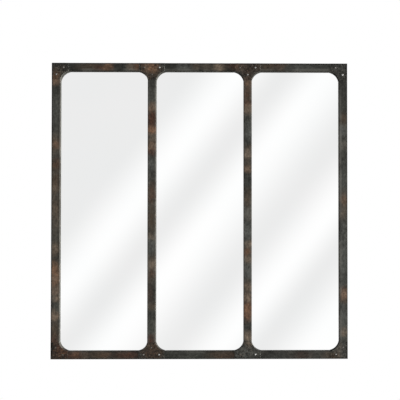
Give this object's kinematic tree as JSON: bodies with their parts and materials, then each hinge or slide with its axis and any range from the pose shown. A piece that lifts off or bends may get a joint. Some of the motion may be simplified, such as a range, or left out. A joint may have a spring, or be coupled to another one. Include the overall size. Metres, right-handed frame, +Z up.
{
  "type": "window mirror",
  "caption": "Square wall mirror built like an industrial window: mirror panes behind a riveted, rusted steel tube grid, with hinged hanging rings on the back.",
  "frame": {"origin": "on the wall plane, where the bumpers touch the wall, behind the middle of the mirror", "axes": "+X to the right seen from the front, +Y into the wall (the glass faces -Y), +Z up"},
  "size_m": [0.95, 0.035, 0.95],
  "materials": {
    "blackened_steel": "mill-scaled steel tube with rust blooms, waxed",
    "plate_steel": "flame-cut plate, dark and rusted at its edges",
    "rivet_steel": "dome heads rubbed bright",
    "mirror_glass": "silvered float glass",
    "foam_tape": "black closed-cell foam",
    "setting_rubber": "black rubber",
    "spacer_wood": "planed softwood",
    "board_wood": "brown hardboard",
    "zinc_steel": "bright zinc plate",
    "bumper_rubber": "black moulded rubber"
  },
  "bodies": {
    "mirror": {"top_rail": "blackened_steel", "top_spacer": "spacer_wood", "top_left_gusset": "plate_steel", "top_left_tee": "plate_steel", "top_left_gusset_web": "plate_steel", "top_left_tee_webs": "plate_steel", "top_right_gusset": "plate_steel", "top_right_tee": "plate_steel", "top_right_gusset_web": "plate_steel", "top_right_tee_webs": "plate_steel", "bottom_rail": "blackened_steel", "bottom_spacer": "spacer_wood", "bottom_left_gusset": "plate_steel", "bottom_left_tee": "plate_steel", "bottom_left_gusset_web": "plate_steel", "bottom_left_tee_webs": "plate_steel", "bottom_right_gusset": "plate_steel", "bottom_right_tee": "plate_steel", "bottom_right_gusset_web": "plate_steel", "bottom_right_tee_webs": "plate_steel", "left_stile": "blackened_steel", "left_mullion": "blackened_steel", "left_spacer": "spacer_wood", "left_mullion_spacer": "spacer_wood", "left_hanger_strap": "zinc_steel", "right_stile": "blackened_steel", "right_mullion": "blackened_steel", "right_spacer": "spacer_wood", "right_mullion_spacer": "spacer_wood", "right_hanger_strap": "zinc_steel", "left_pane": "mirror_glass", "left_tape": "foam_tape", "centre_pane": "mirror_glass", "centre_tape": "foam_tape", "right_pane": "mirror_glass", "right_tape": "foam_tape", "setting_blocks": "setting_rubber", "backing_board": "board_wood", "corner_rivets": "rivet_steel", "tee_rivets": "rivet_steel", "board_screws": "zinc_steel", "hanger_screws": "zinc_steel", "wall_bumpers": "bumper_rubber", "bumper_screws": "zinc_steel"},
    "left_ring": {"left_hanger_ring": "zinc_steel"},
    "right_ring": {"right_hanger_ring": "zinc_steel"}
  },
  "joints": [
    {"name": "left_ring_swing", "type": "hinge", "parent": "mirror", "child": "left_ring", "pos_m": [-0.15383, -0.00472, 0.405], "axis": [-1, 0, 0], "range_deg": [0, 175]},
    {"name": "right_ring_swing", "type": "hinge", "parent": "mirror", "child": "right_ring", "pos_m": [0.15383, -0.00472, 0.405], "axis": [-1, 0, 0], "range_deg": [0, 175]}
  ]
}
